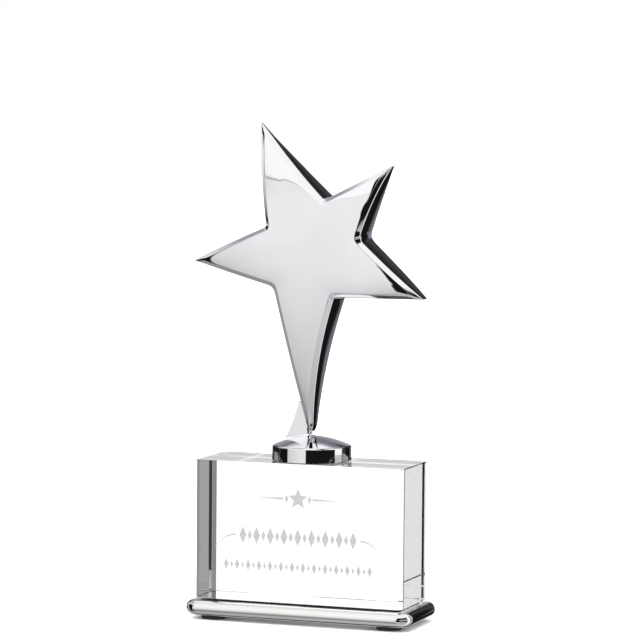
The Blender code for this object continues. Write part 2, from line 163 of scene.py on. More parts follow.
# (length, row, count, height)
LOZENGE_ROWS = [(0.53, MIDDLE_ROW, 17, 8.8 * MM), (0.69, BOTTOM_ROW, 27, 5.6 * MM)]
LOZENGE_WIDTH = 0.42  # of its height
SMALL_LOZENGE = 0.6  # of the tall one's height
STAR_MARK_RADIUS = 5.4 * MM
STAR_MARK_WAIST = 0.45
DOT_AT, DOT_WIDTH, DOT_HEIGHT = 0.055, 2.0 * MM, 4.2 * MM
RULE_SPAN, RULE_THICKNESS = (0.07, 0.18), 1.1 * MM
ARC_SPAN, ARC_THICKNESS, ARC_SAG = (0.30, 0.40), 0.9 * MM, 0.095
RULE_TAPER = 0.7
RULE_STEPS = 16
ETCH_GAP = 0.02 * MM
ETCH_THICKNESS = 0.06 * MM

# Plate and feet
PLATE_CORNER = 8 * MM
PLATE_CORNER_STEPS = 20
PLATE_NOSE_STEPS = 28
FOOT_POCKET = 1.3 * MM
POCKET_SIDES = 64
CUTTER_BELOW = 1 * MM
FOOT_TREAD_INSET = 0.9 * MM
FOOT_TREAD_ROUND = 0.7 * MM
FOOT_TREAD_STEPS = 6
FOOT_DISH_DEPTH = 0.25 * MM
FOOT_DISH_EDGE, FOOT_DISH_FLOOR = 1.0 * MM, 1.6 * MM  # in from the tread
FOOT_WALL_FROM = 1.2 * MM
FOOT_TOP_CHAMFER = 0.1 * MM
FOOT_SIDES = 96

# Studio: what the metal and the glass see in each direction, by azimuth and elevation in degrees. Azimuth is
# 0 in front and grows to the right, on round the back past 180. A tone is a grey level or a colour, and a
# list of tones has (angle, tone) stops. A card is its azimuth limits, its elevation limits and its tones by
# elevation, where limits are (low, high, softness).
BLACK = 0.008
WHITE = 1.0
CURVE_REACH = 25
HORIZON_LIFTS = [(-30, 0.9), (-27, 0.8), (-25, 0.35), (-21, -0.15), (-17, -0.6), (-14, -2.0), (-9, -1.75)]
HORIZON_LIFTS += [(-4, -0.5)]
KEY_WALL_TONES = [
    (-90, (0.62, 0.64, 0.70)),
    (-60, (0.55, 0.57, 0.62)),
    (-42, (0.27, 0.27, 0.26)),
    (-26, 0.30),
    (-20.3, 0.43),
    (-18.1, 0.54),
    (-14.7, 0.64),
    (-11.1, 0.71),
    (-7.8, 0.78),
    (-4.5, 0.85),
    (0.5, 0.89),
    (5, 0.905),
    (12.5, 0.90),
    (12.8, 1.04),
    (90, 1.04),
]
KEY_WALL_FALLOFF = [(-60, 0.78), (-42, 0.91), (-30, 1), (40, 1)]
KEY_WALL_END = [(-17, 3.0), (-8.5, 1.0), (-6.8, 1.2), (-6, 2.8), (-5.2, 0.8), (-2, -0.7), (3, -2.7)]
KEY_WALL_END += [(6, 0), (8, 8)]
KEY_WALL_END_SOFT = 1.0
HAZE_BAND, HAZE_FADE, HAZE_SHARE, HAZE_TONE = (9, 12.6, 3.0), (-24, -34), 0.3, 0.5
LINE_BAND, LINE_TONE = (12.4, 12.9, 0.25), 0.12
LINE_STRENGTHS = [(-50, 0.75), (-29, 0.6), (-24, 0.25), (5, 0.15)]
LOW_CARD_WIDTH, LOW_CARD_SOFT = (1.5, 86, 2.0), 0.4
LOW_CARD_TOP = [(0, -14.4), (10, -17.6), (20, -20.0), (32, -21.2), (90, -21.5)]
LOW_CARD_TONES = [
    (-60, (0.55, 0.57, 0.62)),
    (-40, 0.4),
    (-28, 0.63),
    (-25, 0.55),
    (-23.5, 0.49),
    (-20, 0.48),
    (-16, 0.60),
    (-12, 0.68),
]
LEFT_FLAG_TONES = [(-60, 0.4), (-28, BLACK), (26, BLACK), (33, 0.8)]
SIDE_CARDS = [
    ((28, 86, 4.0), (-4, 2, 1.0), 0.72),
    ((28, 86, 4.0), (8.5, 14, 1.0), 0.72),
    ((90, 117, 1.0), None, WHITE),
    ((117, 133, 1.0), None, (0.045, 0.047, 0.035)),
    ((119, 149.5, 1.5), (-100, -8.8, 0.7), 0.5),
    ((119, 149.5, 1.5), (-3, 100, 0.7), 0.5),
    (None, (39, 100, 3.0), WHITE),
    ((-86, -55, 1.0), None, LEFT_FLAG_TONES),
]
BACK_WALL_WIDTH = (155, 242, 2.0)
BACK_WALL_DARK_END = (167, 161)
BACK_WALL_TONES = [
    (-90, 0.3),
    (-25, BLACK),
    (-13.6, BLACK),
    (-12.2, (0.15, 0.15, 0.175)),
    (-9, (0.22, 0.22, 0.26)),
    (3, (0.30, 0.30, 0.35)),
    (11, (0.055, 0.055, 0.06)),
    (19, (0.045, 0.045, 0.05)),
    (23, 0.02),
    (31, (0.03, 0.03, 0.035)),
    (35, (0.19, 0.19, 0.22)),
    (41, (0.24, 0.24, 0.28)),
    (47, 0.95),
]
FAR_WALL_FADE = (200, 214)
FAR_WALL_TONES = [
    (-14, BLACK),
    (12, (0.05, 0.05, 0.055)),
    (20, (0.035, 0.035, 0.04)),
    (25, (0.045, 0.045, 0.055)),
    (30, (0.16, 0.16, 0.19)),
    (34, (0.32, 0.32, 0.35)),
    (40, 0.65),
    (46, 0.9),
]
BACK_PANEL_TONES = [
    (1, 0.8),
    (5, 0.6),
    (9, (0.42, 0.42, 0.45)),
    (14, (0.34, 0.34, 0.37)),
    (20, (0.30, 0.30, 0.33)),
    (28, (0.22, 0.22, 0.25)),
    (34, (0.18, 0.18, 0.21)),
]
FAR_LEFT_TONES = [
    (-90, 0.5),
    (-50, 0.3),
    (-16, (0.33, 0.33, 0.35)),
    (-9, 0.3),
    (-6.9, BLACK),
    (-5, BLACK),
    (-3.2, 0.3),
    (-1.2, 0.52),
    (0.5, 0.68),
    (2.8, 0.95),
    (4, 0.95),
    (5, 0.4),
    (13, 0.4),
    (17, 0.95),
    (24, 0.95),
    (32, 0.72),
    (39, (0.36, 0.35, 0.41)),
    (50, (0.36, 0.35, 0.41)),
    (58, 1),
]
REAR_CARDS = [
    ((187, 217, 3.0), (-14, 34, 1.5), BACK_PANEL_TONES),
    ((183, 241, 3.0), (-50, -15, 1.5), 0.5),
    ((196.5, 202.5, 1.0), (3, 8.5, 1.0), 1.15),
    ((-119, -86, 1.0), None, FAR_LEFT_TONES),
    ((-99.5, -85, 0.7), (2.5, 29, 1.5), 0.01),
]
# Cards that only light coming through the crystal sees
GLASS_CARDS = [
    ((150, 171, 2.0), (-20, 12, 2.0), 0.31),
    ((-28, -10, 1.5), (-14, 12, 2.0), (1.40, 1.35, 1.30)),
    ((-125, -62, 2.0), (-62, -12, 3.0), 0.02),
    ((62, 88, 2.0), (-62, -12, 3.0), 0.02),
    ((8, 60, 2.0), (-50, 8, 2.0), 0.9),
    ((174, 228, 1.0), None, 1.18),
]
DIFFUSE_LIGHT = 1.7
FLOOR_SIZE = 12
# (name, place, aim, size, watts)
LIGHTS = [
    ("key", (-0.9, -1.3, 1.5), (0, 0, 0.1), 1.2, 25),
    ("top", (0.2, 0.2, 1.8), (0, 0, 0), 1.4, 20),
]

# Noise in the materials: its values lie mostly in this range
NOISE_RANGE = (0.3, 0.7)
NOISE_ROUGHNESS = 0.55


# ---------------------------------------------------------------- materials

def node_tree(name):
    made = bpy.data.materials.new(name)
    made.use_nodes = True
    return made, made.node_tree, made.node_tree.nodes["Principled BSDF"]


def noise(tree, scale, detail=3.0, stretch=(1, 1, 1)):
    """Noise in the object's own coordinates; scale counts per metre."""
    place = tree.nodes.new("ShaderNodeTexCoord")
    mapping = tree.nodes.new("ShaderNodeMapping")
    mapping.inputs["Scale"].default_value = stretch
    texture = tree.nodes.new("ShaderNodeTexNoise")
    texture.inputs["Scale"].default_value = scale
    texture.inputs["Detail"].default_value = detail
    texture.inputs["Roughness"].default_value = NOISE_ROUGHNESS
    tree.links.new(place.outputs["Object"], mapping.inputs["Vector"])
    tree.links.new(mapping.outputs["Vector"], texture.inputs["Vector"])
    return texture.outputs["Fac"]


def roughened(tree, shader, value, low, high):
    """Roughness that follows the noise from low to high."""
    node = tree.nodes.new("ShaderNodeMapRange")
    node.inputs["From Min"].default_value, node.inputs["From Max"].default_value = NOISE_RANGE
    node.inputs["To Min"].default_value = low
    node.inputs["To Max"].default_value = high
    tree.links.new(value, node.inputs["Value"])
    tree.links.new(node.outputs["Result"], shader.inputs["Roughness"])


def coloured(tree, shader, value, dark, light):
    """Base colour that follows the noise from dark to light."""
    ramp = tree.nodes.new("ShaderNodeValToRGB")
    for element, position, colour in zip(ramp.color_ramp.elements, NOISE_RANGE, (dark, light)):
        element.position = position
        element.color = (*colour, 1)
    tree.links.new(value, ramp.inputs["Fac"])
    tree.links.new(ramp.outputs["Color"], shader.inputs["Base Color"])


def bumped(tree, shader, value, strength, distance):
    bump = tree.nodes.new("ShaderNodeBump")
    bump.inputs["Strength"].default_value = strength
    bump.inputs["Distance"].default_value = distance
    tree.links.new(value, bump.inputs["Height"])
    tree.links.new(bump.outputs["Normal"], shader.inputs["Normal"])


def chrome(name, colour, roughness, waviness):
    """Polished plating: a faint change of tone, fine polishing haze and a very low swell in the surface."""
    made, tree, shader = node_tree(name)
    shader.inputs["Metallic"].default_value = 1.0
    coloured(tree, shader, noise(tree, 60), tuple(c * 0.97 for c in colour), colour)
    roughened(tree, shader, noise(tree, 900, 4.0), roughness * 0.7, roughness * 1.4)
    bumped(tree, shader, noise(tree, 120, 1.0), waviness, 0.05 * MM)
    return made


def crystal_glass():
    """Clear optical glass with the slightest green-grey cast and a trace of polishing haze."""
    made, tree, shader = node_tree("crystal")
    shader.inputs["Transmission Weight"].default_value = 1.0
    shader.inputs["IOR"].default_value = 1.52
    coloured(tree, shader, noise(tree, 25), (0.985, 0.99, 0.988), (0.997, 0.998, 0.997))
    roughened(tree, shader, noise(tree, 700, 5.0), 0.0, 0.012)
    return made


def etched_frost():
    """Sandblasted crystal: pale grey and grainy."""
    made, tree, shader = node_tree("etched_frost")
    grain = noise(tree, 6000)
    coloured(tree, shader, grain, (0.24, 0.24, 0.245), (0.33, 0.33, 0.335))
    roughened(tree, shader, grain, 0.7, 0.95)
    bumped(tree, shader, grain, 0.4, 0.05 * MM)
    return made


def black_rubber():
    made, tree, shader = node_tree("black_rubber")
    grain = noise(tree, 2500, 5.0)
    coloured(tree, shader, grain, (0.006, 0.006, 0.006), (0.022, 0.022, 0.023))
    roughened(tree, shader, grain, 0.55, 0.8)
    bumped(tree, shader, grain, 0.5, 0.1 * MM)
    return made


def zinc_steel():
    """Clear zinc over steel, with fine turning marks and a patchy dullness."""
    made, tree, shader = node_tree("zinc_plate")
    shader.inputs["Metallic"].default_value = 1.0
    patches = noise(tree, 1500, 4.0)
    coloured(tree, shader, patches, (0.5, 0.51, 0.53), (0.66, 0.67, 0.68))
    roughened(tree, shader, patches, 0.25, 0.42)
    bumped(tree, shader, noise(tree, 3000, 2.0, (1, 1, 8)), 0.3, 0.05 * MM)
    return made


def adhesive_film():
    made, tree, shader = node_tree("adhesive_film")
    ripple = noise(tree, 400)
    coloured(tree, shader, ripple, (0.10, 0.10, 0.10), (0.16, 0.16, 0.155))
    roughened(tree, shader, ripple, 0.2, 0.4)
    bumped(tree, shader, ripple, 0.3, 0.1 * MM)
    return made


def pale_floor():
    made, tree, shader = node_tree("pale_floor")
    coloured(tree, shader, noise(tree, 3), (0.93, 0.93, 0.93), (0.96, 0.96, 0.96))
    shader.inputs["Roughness"].default_value = 0.9
    return made


# ---------------------------------------------------------------- shapes

def add_piece(name, builder, finish, smooth_angle=None):
    bmesh.ops.recalc_face_normals(builder, faces=builder.faces)
    mesh = bpy.data.meshes.new(name)
    builder.to_mesh(mesh)
    builder.free()
    if smooth_angle is not None:
        mesh.shade_smooth()
        mesh.set_sharp_from_angle(angle=math.radians(smooth_angle))
    mesh.materials.append(finish)
    obj = bpy.data.objects.new(name, mesh)
    bpy.context.scene.collection.objects.link(obj)
    return obj


def bridge_rings(builder, rings, closed=False):
    pairs = list(zip(rings, rings[1:]))
    if closed:
        pairs.append((rings[-1], rings[0]))
    for lower, upper in pairs:
        count = len(lower)
        for i in range(count):
            j = (i + 1) % count
            builder.faces.new((lower[i], lower[j], upper[j], upper[i]))


def stacked(name, outlines, finish, smooth_angle=None):
    """A solid from plan outlines of equal length, given as (points, height) from the bottom up."""
    builder = bmesh.new()
    rings = [[builder.verts.new((x, y, z)) for x, y in points] for points, z in outlines]
    bridge_rings(builder, rings)
    builder.faces.new(list(reversed(rings[0])))
    builder.faces.new(rings[-1])
    return add_piece(name, builder, finish, smooth_angle)


def turned(name, profile, centre, steps, finish, smooth_angle=30):
    """A ring turned about an upright axis from a closed profile of (radius, height) points."""
    builder = bmesh.new()
    rings = []
    for i in range(steps):
        angle = 2 * math.pi * i / steps
        rings.append(
            [
                builder.verts.new((centre[0] + r * math.cos(angle), centre[1] + r * math.sin(angle), z))
                for r, z in profile
            ]
        )
    bridge_rings(builder, rings, closed=True)
    return add_piece(name, builder, finish, smooth_angle)


def arc(centre, radius, start, end, steps):
    found = []
    for i in range(steps + 1):
        angle = math.radians(start + (end - start) * i / steps)
        found.append((centre[0] + radius * math.cos(angle), centre[1] + radius * math.sin(angle)))
    return found


def circle(centre, radius, steps):
    return arc(centre, radius, 0, 360 * (steps - 1) / steps, steps - 1)


def rounded_rectangle(centre, length, depth, radius, steps):
    found = []
    for quarter, (sx, sy) in enumerate(((1, 1), (-1, 1), (-1, -1), (1, -1))):
        middle = (centre[0] + sx * (length / 2 - radius), centre[1] + sy * (depth / 2 - radius))
        found += arc(middle, radius, 90 * quarter, 90 * quarter + 90, steps)
    return found


def apply_modifiers(obj):
    mesh = bpy.data.meshes.new_from_object(obj.evaluated_get(bpy.context.evaluated_depsgraph_get()))
    obj.modifiers.clear()
    obj.data = mesh


# ---------------------------------------------------------------- star

def bowed_edge(start, end, bow, count):
    (ax, az), (bx, bz) = start, end
    length = math.hypot(bx - ax, bz - az)
    nx, nz = -(bz - az) / length, (bx - ax) / length
    found = []
    for i in range(count):
        t = i / count
        swell = 4 * bow * t * (1 - t)
        found.append((ax + (bx - ax) * t + nx * swell, az + (bz - az) * t + nz * swell))
    return found


def toward(start, end, distance):
    share = distance / math.hypot(end[0] - start[0], end[1] - start[1])
    return (start[0] + (end[0] - start[0]) * share, start[1] + (end[1] - start[1]) * share)


def rounded_corner(before, corner, after, reach, count):
    (ax, az), (bx, bz) = toward(corner, before, reach), corner
    cx, cz = toward(corner, after, reach)
    found = []
    for i in range(count):
        t = i / count
        x = (1 - t) ** 2 * ax + 2 * t * (1 - t) * bx + t**2 * cx
        z = (1 - t) ** 2 * az + 2 * t * (1 - t) * bz + t**2 * cz
        found.append((x, z))
    return found


def star_outline():
    """The outline clockwise from the top tip, and for each of its points the number of its edge."""
    corners = []
    for i, tip in enumerate(STAR_TIPS):
        reach, points = (LEG_TIP_ROUND, LEG_TIP_POINTS) if i == LEG else (TIP_ROUND, TIP_POINTS)
        corners.append((tip, reach, EDGE_BOWS[i][0], points))
        corners.append((STAR_NOTCHES[i], NOTCH_ROUNDS[i], EDGE_BOWS[i][1], NOTCH_POINTS))
    count = len(corners)
    found, edges = [], []
    for i, (corner, reach, bow, points) in enumerate(corners):
        before = corners[i - 1][0]
        after, after_reach = corners[(i + 1) % count][:2]
        round_part = rounded_corner(before, corner, after, reach, points)
        start, end = toward(corner, after, reach), toward(after, corner, after_reach)
        straight = bowed_edge(start, end, bow, EDGE_POINTS)
        found += round_part + straight
        half = len(round_part) // 2
        edges += [(i - 1) % count] * half + [i] * (len(round_part) - half + len(straight))
    return np.array(found), np.array(edges)


def arm_blend(angles, values):
    """One value per tip, blended round the star between one tip and the next."""
    offsets = np.array(STAR_TIPS) - STAR_CENTRE
    tip_angles = np.arctan2(offsets[:, 1], offsets[:, 0])
    order = np.argsort(tip_angles)
    tip_angles, values = tip_angles[order], np.array(values)[order]
    turn = 2 * math.pi
    found = np.zeros_like(angles)
    for i in range(len(order)):
        j = (i + 1) % len(order)
        span = (tip_angles[j] - tip_angles[i]) % turn
        along = (angles - tip_angles[i]) % turn
        blend = (1 - np.cos(math.pi * along / span)) / 2
        found = np.where(along < span, values[i] + (values[j] - values[i]) * blend, found)
    return found


class StarSurface:
    """Half the star's thickness anywhere inside its outline: a dome that drops at the edges by a soft puff, a
    bevel and a rounded rim."""

    def __init__(self):
        self.outline, self.edges = star_outline()
        self.ends = np.roll(self.outline, -1, axis=0)

    def inset(self, points):
        """Distance inside the outline and the nearest edge's puff, blended smoothly between the edges."""
        total = np.zeros(len(points))
        puff = np.zeros(len(points))
        for edge in range(2 * len(STAR_TIPS)):
            mine = self.edges == edge
            starts, ways = self.outline[mine], (self.ends - self.outline)[mine]
            offsets = points[:, None, :] - starts[None]
            along = np.clip((offsets * ways).sum(2) / (ways**2).sum(1), 0, 1)
            gaps = np.linalg.norm(offsets - along[..., None] * ways, axis=2)
            weight = (MM / np.maximum(gaps.min(1), TINY)) ** SOFT_MIN_POWER
            total += weight
            puff += weight * EDGE_PUFFS[edge]
        return MM * total ** (-1 / SOFT_MIN_POWER), puff / total

    def dome(self, points):
        offsets = points - STAR_CENTRE
        angles = np.arctan2(offsets[:, 1], offsets[:, 0])
        lengths = np.hypot(*(np.array(STAR_TIPS) - STAR_CENTRE).T)
        share = np.minimum(1, np.hypot(*offsets.T) / arm_blend(angles, lengths))
        tip = arm_blend(angles, TIP_HALF_THICKNESSES)
        return tip + (STAR_HALF_THICKNESS - tip) * (1 - share ** arm_blend(angles, DOME_POWERS))

    def half(self, points):
        inset, puff = self.inset(points)
        bevel = 1 - inset / BEVEL_WIDTH
        bevel = BEVEL_DROP * (bevel + np.sqrt(bevel**2 + (BEVEL_SOFT / BEVEL_WIDTH) ** 2)) / 2
        rim = np.clip(1 - inset / RIM_ROUND, 0, 1)
        drop = bevel + RIM_DROP * (1 - np.sqrt(1 - rim**2)) + puff * np.exp(-inset / PUFF_REACH)
        dome = self.dome(points)
        whole = BEVEL_DROP + RIM_DROP + puff
        return dome - drop * np.minimum(1, (1 - THINNEST_SHARE) * dome / whole)

    def rings(self):
        """Rings of (x, z) points: the outline, one at each inset, then ever smaller ones to the centre."""
        centre = np.array(STAR_CENTRE)
        rings = [self.outline]
        reached = np.zeros(len(self.outline))
        for target in RING_INSETS[1:]:
            near, far = reached, np.ones(len(reached)) * DEEPEST_SHRINK
            for _ in range(SEARCH_STEPS):
                middle = (near + far) / 2
                points = self.outline + (centre - self.outline) * middle[:, None]
                deeper = self.inset(points)[0] > target * MM
                near, far = np.where(deeper, near, middle), np.where(deeper, middle, far)
            reached = far
            rings.append(self.outline + (centre - self.outline) * reached[:, None])
        last = rings[-1]
        for i in range(1, INNER_RINGS):
            rings.append(centre + (last - centre) * (1 - i / INNER_RINGS))
        return rings


def ring_at(builder, points, depths):
    """Vertices at these (x, z) points of the star's plane, each this far behind it."""
    return [builder.verts.new((BASE_X + x, y, BLOCK_BOTTOM + z)) for (x, z), y in zip(points, depths)]


def wall_rings(builder, surface):
    """Rings round the star's side from front to back: its wall swells a little between the rims."""
    outline = surface.outline
    tangents = np.roll(outline, -1, axis=0) - np.roll(outline, 1, axis=0)
    outward = np.stack([-tangents[:, 1], tangents[:, 0]], 1)
    outward /= np.linalg.norm(outward, axis=1)[:, None]
    halves = surface.half(outline)
    rings = []
    for i in range(1, WALL_STEPS):
        across = 2 * i / WALL_STEPS - 1
        swell = WALL_SWELL * np.maximum(halves - THICK_FROM, 0) * 2 * (1 - across**2)
        rings.append(ring_at(builder, outline + outward * swell[:, None], across * halves))
    return rings


def make_star(finish):
    surface = StarSurface()
    rings = surface.rings()
    peak = surface.half(np.array([STAR_CENTRE]))[0]
    builder = bmesh.new()
    rims = []
    for side in (-1, 1):
        placed = [ring_at(builder, ring, side * surface.half(ring)) for ring in rings]
        bridge_rings(builder, placed)
        middle = builder.verts.new((BASE_X + STAR_CENTRE[0], side * peak, BLOCK_BOTTOM + STAR_CENTRE[1]))
        inner = placed[-1]
        for i, vertex in enumerate(inner):
            builder.faces.new((vertex, inner[(i + 1) % len(inner)], middle))
        rims.append(placed[0])
    bridge_rings(builder, [rims[0], *wall_rings(builder, surface), rims[1]])
    return add_piece("star_body", builder, finish, 180)


# ---------------------------------------------------------------- stud, cap, plate, feet

def make_stud(finish):
    """The stud below the leg: a bare waist where it shows, then a fine thread inside the cap."""
    top = BLOCK_BOTTOM + STAR_TIPS[LEG][1] + STUD_INTO_LEG
    shoulder = CAP_HIGH.z - NECK_UNDER_CAP_TOP
    z = STUD_BOTTOM + STUD_CHAMFER
    levels = [(STUD_RADIUS - STUD_CHAMFER, 0, STUD_BOTTOM), (STUD_RADIUS, 0, z)]
    while z < shoulder - THREAD_BELOW_CAP_TOP:
        crest, root = z + 0.1 * THREAD_PITCH, z + 0.5 * THREAD_PITCH
        levels += [(STUD_RADIUS, 0, crest), (STUD_RADIUS - THREAD_DEPTH, 0, root)]
        z += THREAD_PITCH
    levels += [(STUD_RADIUS, 0, z), (STUD_RADIUS, 0, shoulder)]
    for i in range(1, NECK_STEPS + 1):
        blend = 1 - (1 - i / NECK_STEPS) ** 2
        radius = STUD_RADIUS + (NECK_RADIUS - STUD_RADIUS) * blend
        levels.append((radius, NECK_SHIFT * blend, shoulder + NECK_FLARE * i / NECK_STEPS))
    levels += [(NECK_RADIUS, NECK_SHIFT, top - NECK_POINT), (NECK_RADIUS / 2, NECK_SHIFT, top)]
    outlines = [(circle((BASE_X + shift, 0), radius, STUD_SIDES), height) for radius, shift, height in levels]
    return stacked("star_stud", outlines, finish, 35)


def dome_height(radius):
    return CAP_LOW.z + CAP_WALL + CAP_RISE * (1 - (radius / CAP_RADIUS) ** CAP_DOME_POWER)


def make_cap(finish):
    hole = STUD_RADIUS + CLEARANCE
    rim_radius = CAP_RADIUS - CAP_CHAMFER
    recess_roof = CAP_LOW.z + CAP_RECESS_DEPTH
    pocket_roof = CAP_LOW.z + CAP_POCKET_DEPTH
    dome = [rim_radius + (hole - rim_radius) * i / CAP_DOME_STEPS for i in range(CAP_DOME_STEPS + 1)]
    profile = [
        (CAP_RECESS_RADIUS, CAP_LOW.z),
        (CAP_RADIUS - CAP_FOOT_CHAMFER, CAP_LOW.z),
        (CAP_RADIUS, CAP_LOW.z + CAP_FOOT_CHAMFER),
        (CAP_RADIUS, dome_height(rim_radius) - CAP_CHAMFER),
        *[(radius, dome_height(radius)) for radius in dome],
        (hole, pocket_roof),
        (CAP_POCKET_RADIUS, pocket_roof),
        (CAP_POCKET_RADIUS, recess_roof),
        (CAP_RECESS_RADIUS, recess_roof),
    ]
    return turned("cap_shell", profile, (BASE_X, 0), CAP_STEPS, finish, 25)


def make_plate(finish):
    """The plate: its edge is a half round, and each foot has a pocket underneath."""
    nose = (PLATE_HIGH.z - PLATE_LOW.z) / 2
    length, depth = PLATE_HIGH.x - PLATE_LOW.x, PLATE_HIGH.y - PLATE_LOW.y
    outlines = []
    for i in range(PLATE_NOSE_STEPS + 1):
        angle = math.radians(-90 + 180 * i / PLATE_NOSE_STEPS)
        inset = nose * (1 - math.cos(angle))
        sides = (length - 2 * inset, depth - 2 * inset)
        outline = rounded_rectangle((BASE_X, 0), *sides, PLATE_CORNER - inset, PLATE_CORNER_STEPS)
        outlines.append((outline, PLATE_LOW.z + nose + nose * math.sin(angle)))
    plate = stacked("plate_shell", outlines, finish, 40)
    cutters = []
    for name in FEET:
        low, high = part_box(name)
        middle, radius = ((low.x + high.x) / 2, (low.y + high.y) / 2), (high.x - low.x) / 2 + CLEARANCE
        outline = circle(middle, radius, POCKET_SIDES)
        levels = [(outline, PLATE_LOW.z - CUTTER_BELOW), (outline, PLATE_LOW.z + FOOT_POCKET)]
        cutter = stacked(name + "_cut", levels, finish)
        modifier = plate.modifiers.new(name, "BOOLEAN")
        modifier.operation = "DIFFERENCE"
        modifier.object = cutter
        cutters.append(cutter)
    apply_modifiers(plate)
    for cutter in cutters:
        bpy.data.objects.remove(cutter, do_unlink=True)
    return plate


def make_foot(name, finish):
    """A moulded rubber button with a rounded tread edge and a shallow dish underneath."""
    low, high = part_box(name)
    centre = ((low.x + high.x) / 2, (low.y + high.y) / 2)
    radius = (high.x - low.x) / 2
    tread = radius - FOOT_TREAD_INSET
    levels = [(tread - FOOT_DISH_FLOOR, low.z + FOOT_DISH_DEPTH), (tread - FOOT_DISH_EDGE, low.z)]
    for i in range(FOOT_TREAD_STEPS + 1):
        angle = math.radians(90 * i / FOOT_TREAD_STEPS)
        rise = FOOT_TREAD_ROUND * (1 - math.cos(angle))
        levels.append((tread + FOOT_TREAD_ROUND * math.sin(angle), low.z + rise))
    levels += [(radius, low.z + FOOT_WALL_FROM), (radius, high.z - FOOT_TOP_CHAMFER)]
    levels.append((radius - FOOT_TOP_CHAMFER, high.z))
    return stacked(name + "_button", [(circle(centre, r, FOOT_SIDES), z) for r, z in levels], finish, 30)


# ---------------------------------------------------------------- crystal block and its etching

def block_outline(inset):
    """The block's plan with its sides moved in by this much: chamfered corners with polished edges."""
    y = (BLOCK_LOW.y + BLOCK_HIGH.y) / 2
    half_x, half_y = (BLOCK_HIGH.x - BLOCK_LOW.x) / 2, (BLOCK_HIGH.y - BLOCK_LOW.y) / 2
    corners = []
    for sx, sy in ((1, 1), (-1, 1), (-1, -1), (1, -1)):
        near_x = (BASE_X + sx * (half_x - BLOCK_CHAMFER), y + sy * (half_y - inset))
        near_y = (BASE_X + sx * (half_x - inset), y + sy * (half_y - BLOCK_CHAMFER))
        corners += [near_y, near_x] if sx * sy > 0 else [near_x, near_y]
    points = []
    for i, corner in enumerate(corners):
        after = corners[(i + 1) % len(corners)]
        points += rounded_corner(corners[i - 1], corner, after, BLOCK_POLISH, BLOCK_POLISH_POINTS)
    return points


def make_block(finish):
    """The crystal: a box with chamfered upright corners, whose edges are a little rounded by polishing."""
    below, above = [], []
    for inset, rise in BLOCK_RIM_LEVELS:
        outline = block_outline(inset * BLOCK_RIM)
        below.append((outline, BLOCK_LOW.z + rise * BLOCK_RIM))
        above.insert(0, (outline, BLOCK_HIGH.z - rise * BLOCK_RIM))
    return stacked("crystal_body", below + above, finish)


def star_points(radius):
    """A plain five-pointed star, one tip up."""
    reaches = [radius, radius * STAR_MARK_WAIST] * 5
    return [(r * math.sin(math.pi * i / 5), r * math.cos(math.pi * i / 5)) for i, r in enumerate(reaches)]


def lozenge(width, height):
    return [(-width / 2, 0), (0, height / 2), (width / 2, 0), (0, -height / 2)]


def swept_rule(start, end, sag, thickness):
    """A tapering line that leaves its start level and droops towards its end."""
    steps = np.linspace(0, 1, RULE_STEPS + 1)
    half = thickness / 2 * (1 - RULE_TAPER * steps)
    x, z = start + (end - start) * steps, -sag * steps**2
    return [*zip(x, z + half), *zip(x[::-1], (z - half)[::-1])]


def make_etching(finish):
    """Frosted ornament on the block's front: a star between rules, and two rows of lozenges with arcs."""
    width, height = BLOCK_HIGH.x - BLOCK_LOW.x, BLOCK_HIGH.z - BLOCK_LOW.z
    front = BLOCK_LOW.y - ETCH_GAP
    builder = bmesh.new()

    def slab(points, x, row):
        """A thin prism of this outline, at x along the face and at this row's height."""
        rings = []
        for y in (front, front - ETCH_THICKNESS):
            places = [(BASE_X + x + px, y, BLOCK_LOW.z + row * height + pz) for px, pz in points]
            rings.append([builder.verts.new(place) for place in places])
        bridge_rings(builder, rings)
        for ring in rings:
            builder.faces.new(ring)

    slab(star_points(STAR_MARK_RADIUS), 0, TOP_ROW)
    for side in (-width, width):
        rule = [side * share for share in RULE_SPAN]
        arms = [side * share for share in ARC_SPAN]
        slab(lozenge(DOT_WIDTH, DOT_HEIGHT), side * DOT_AT, TOP_ROW)
        slab(swept_rule(*rule, 0, RULE_THICKNESS), 0, TOP_ROW)
        slab(swept_rule(*arms, ARC_SAG * height, ARC_THICKNESS), 0, MIDDLE_ROW)
    for length, row, count, size in LOZENGE_ROWS:
        for i in range(count):
            tall = size if i % 2 == 0 else size * SMALL_LOZENGE
            slab(lozenge(tall * LOZENGE_WIDTH, tall), length * width * (i / (count - 1) - 0.5), row)
    return add_piece("etched_ornament", builder, finish)


# ---------------------------------------------------------------- studio

def rgb(tone):
    return tone if isinstance(tone, tuple) else (tone, tone, tone)


